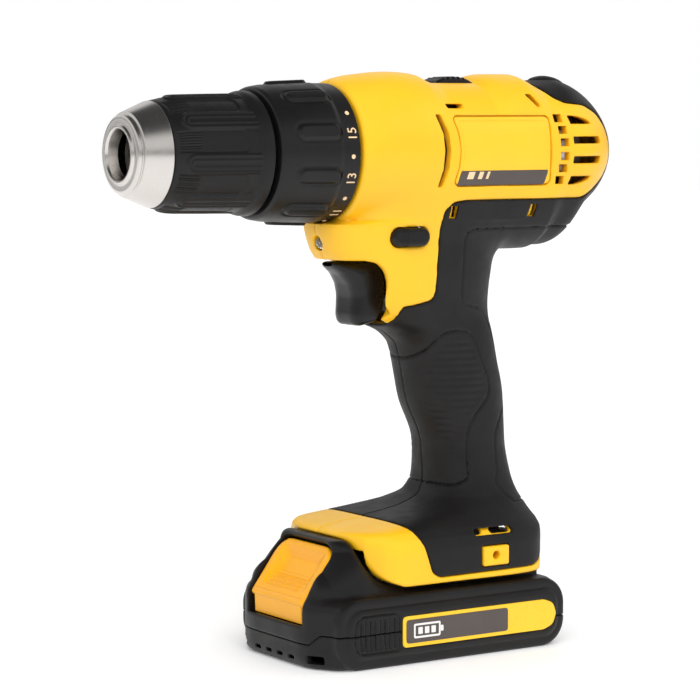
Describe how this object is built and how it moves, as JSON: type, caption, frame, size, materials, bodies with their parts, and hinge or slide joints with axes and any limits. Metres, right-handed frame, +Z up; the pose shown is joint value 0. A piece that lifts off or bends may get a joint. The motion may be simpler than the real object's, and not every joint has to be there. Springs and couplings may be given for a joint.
{
  "type": "cordless drill",
  "caption": "Pistol-grip cordless drill driver with keyless chuck, torque collar, trigger, work light and slide-on battery pack.",
  "frame": {"origin": "middle of the flat base of the battery pack, which the tool stands on", "axes": "-X along the spindle towards the chuck's nose, -Y towards the tool's left side, +Z up from the battery to the motor"},
  "size_m": [0.22, 0.0736, 0.2227],
  "materials": {
    "yellow_shell": "satin moulded yellow plastic",
    "black_shell": "satin moulded black plastic",
    "grip_rubber": "soft matt overmoulding",
    "grey_plastic": "moulded grey plastic",
    "bright_steel": "turned and brushed steel",
    "dark_steel": "hardened dark steel",
    "copper_winding": "enamelled copper winding",
    "clear_lens": "clear moulded lens",
    "circuit_board": "green circuit board",
    "cell_wrap": "shrink-wrapped cell"
  },
  "bodies": {
    "housing": {"housing_left": "yellow_shell", "housing_right": "yellow_shell", "grip_left": "grip_rubber", "grip_right": "grip_rubber", "badge_left": "grey_plastic", "badge_right": "grey_plastic", "hook_boss_left": "yellow_shell", "hook_boss_right": "yellow_shell", "housing_screw_1": "dark_steel", "housing_screw_2": "dark_steel", "housing_screw_3": "dark_steel", "housing_screw_4": "dark_steel", "housing_screw_5": "dark_steel", "work_light_lens": "clear_lens", "work_light_board": "circuit_board", "switch_body": "grey_plastic", "trigger_spring": "bright_steel", "terminal_block": "grey_plastic", "gear_case": "grey_plastic", "ring_gear_2": "dark_steel", "spindle_bearing_front": "bright_steel", "spindle_bearing_rear": "bright_steel", "clutch_spring": "bright_steel", "motor_can": "bright_steel", "motor_magnet_upper": "dark_steel", "motor_magnet_lower": "dark_steel", "motor_end_cap": "black_shell"},
    "armature": {"armature": "copper_winding", "motor_pinion": "bright_steel", "cooling_fan": "black_shell"},
    "carrier": {"carrier_1": "dark_steel"},
    "planet_1_a": {"planet_1_a": "dark_steel"},
    "planet_1_b": {"planet_1_b": "dark_steel"},
    "planet_1_c": {"planet_1_c": "dark_steel"},
    "spindle": {"spindle": "bright_steel", "chuck_body": "bright_steel", "chuck_nose": "bright_steel", "chuck_screw": "dark_steel"},
    "planet_2_a": {"planet_2_a": "dark_steel"},
    "planet_2_b": {"planet_2_b": "dark_steel"},
    "planet_2_c": {"planet_2_c": "dark_steel"},
    "chuck_sleeve": {"chuck_sleeve": "black_shell", "jaw_nut": "bright_steel"},
    "jaw_1": {"jaw_1": "dark_steel"},
    "jaw_2": {"jaw_2": "dark_steel"},
    "jaw_3": {"jaw_3": "dark_steel"},
    "clutch_collar": {"clutch_collar": "black_shell"},
    "trigger": {"trigger": "black_shell"},
    "direction_button": {"direction_button": "black_shell"},
    "speed_selector": {"speed_selector": "black_shell", "ring_gear_1": "dark_steel"},
    "battery": {"battery_case": "black_shell", "battery_cover": "black_shell", "cell_1": "cell_wrap", "cell_2": "cell_wrap", "cell_3": "cell_wrap", "cell_4": "cell_wrap", "cell_5": "cell_wrap", "release_spring": "bright_steel"},
    "release_button": {"release_button": "yellow_shell"}
  },
  "joints": [
    {"name": "motor_spin", "type": "hinge", "parent": "housing", "child": "armature", "pos_m": [0.06, 0, 0.1927], "axis": [-1, 0, 0], "continuous": true},
    {"name": "carrier_spin", "type": "hinge", "parent": "housing", "child": "carrier", "pos_m": [0.003, 0, 0.1927], "axis": [-1, 0, 0], "continuous": true},
    {"name": "spindle_spin", "type": "hinge", "parent": "housing", "child": "spindle", "pos_m": [-0.06, 0, 0.1927], "axis": [-1, 0, 0], "continuous": true},
    {"name": "planet_1_a_spin", "type": "hinge", "parent": "carrier", "child": "planet_1_a", "pos_m": [0.009, 0.0114, 0.1927], "axis": [-1, 0, 0], "continuous": true},
    {"name": "planet_1_b_spin", "type": "hinge", "parent": "carrier", "child": "planet_1_b", "pos_m": [0.009, -0.0057, 0.20257], "axis": [-1, 0, 0], "continuous": true},
    {"name": "planet_1_c_spin", "type": "hinge", "parent": "carrier", "child": "planet_1_c", "pos_m": [0.009, -0.0057, 0.18283], "axis": [-1, 0, 0], "continuous": true},
    {"name": "planet_2_a_spin", "type": "hinge", "parent": "spindle", "child": "planet_2_a", "pos_m": [-0.006, 0.0114, 0.1927], "axis": [-1, 0, 0], "continuous": true},
    {"name": "planet_2_b_spin", "type": "hinge", "parent": "spindle", "child": "planet_2_b", "pos_m": [-0.006, -0.0057, 0.20257], "axis": [-1, 0, 0], "continuous": true},
    {"name": "planet_2_c_spin", "type": "hinge", "parent": "spindle", "child": "planet_2_c", "pos_m": [-0.006, -0.0057, 0.18283], "axis": [-1, 0, 0], "continuous": true},
    {"name": "chuck_sleeve_turn", "type": "hinge", "parent": "spindle", "child": "chuck_sleeve", "pos_m": [-0.09, 0, 0.1927], "axis": [-1, 0, 0], "range_deg": [0, 4950]},
    {"name": "jaw_1_slide", "type": "slide", "parent": "spindle", "child": "jaw_1", "axis": [-0.9659, 0, -0.2588], "range_m": [0, 0.022]},
    {"name": "jaw_2_slide", "type": "slide", "parent": "spindle", "child": "jaw_2", "axis": [-0.9659, 0.2241, 0.1294], "range_m": [0, 0.022]},
    {"name": "jaw_3_slide", "type": "slide", "parent": "spindle", "child": "jaw_3", "axis": [-0.9659, -0.2241, 0.1294], "range_m": [0, 0.022]},
    {"name": "clutch_collar_turn", "type": "hinge", "parent": "housing", "child": "clutch_collar", "pos_m": [-0.05, 0, 0.1927], "axis": [-1, 0, 0], "range_deg": [0, 300]},
    {"name": "trigger_pull", "type": "slide", "parent": "housing", "child": "trigger", "axis": [1, 0, 0], "range_m": [0, 0.007], "stiffness_N_per_m": 900},
    {"name": "direction_button_slide", "type": "slide", "parent": "housing", "child": "direction_button", "axis": [0, 1, 0], "range_m": [-0.003, 0.003]},
    {"name": "speed_selector_slide", "type": "slide", "parent": "housing", "child": "speed_selector", "axis": [-1, 0, 0], "range_m": [0, 0.005]},
    {"name": "battery_slide", "type": "slide", "parent": "housing", "child": "battery", "axis": [-1, 0, 0], "range_m": [0, 0.11]},
    {"name": "release_button_press", "type": "slide", "parent": "battery", "child": "release_button", "axis": [0, 0, -1], "range_m": [0, 0.004], "stiffness_N_per_m": 1200, "deforming": ["release_spring"]}
  ],
  "couplings": [
    {"joint": "carrier_spin", "follows": "motor_spin", "ratio": 0.25},
    {"joint": "spindle_spin", "follows": "motor_spin", "ratio": 0.0625},
    {"joint": "planet_1_a_spin", "follows": "motor_spin", "ratio": -0.75},
    {"joint": "planet_1_b_spin", "follows": "motor_spin", "ratio": -0.75},
    {"joint": "planet_1_c_spin", "follows": "motor_spin", "ratio": -0.75},
    {"joint": "planet_2_a_spin", "follows": "motor_spin", "ratio": -0.1875},
    {"joint": "planet_2_b_spin", "follows": "motor_spin", "ratio": -0.1875},
    {"joint": "planet_2_c_spin", "follows": "motor_spin", "ratio": -0.1875},
    {"joint": "jaw_1_slide", "follows": "chuck_sleeve_turn", "m_per_rad": 0.00025465},
    {"joint": "jaw_2_slide", "follows": "chuck_sleeve_turn", "m_per_rad": 0.00025465},
    {"joint": "jaw_3_slide", "follows": "chuck_sleeve_turn", "m_per_rad": 0.00025465}
  ]
}
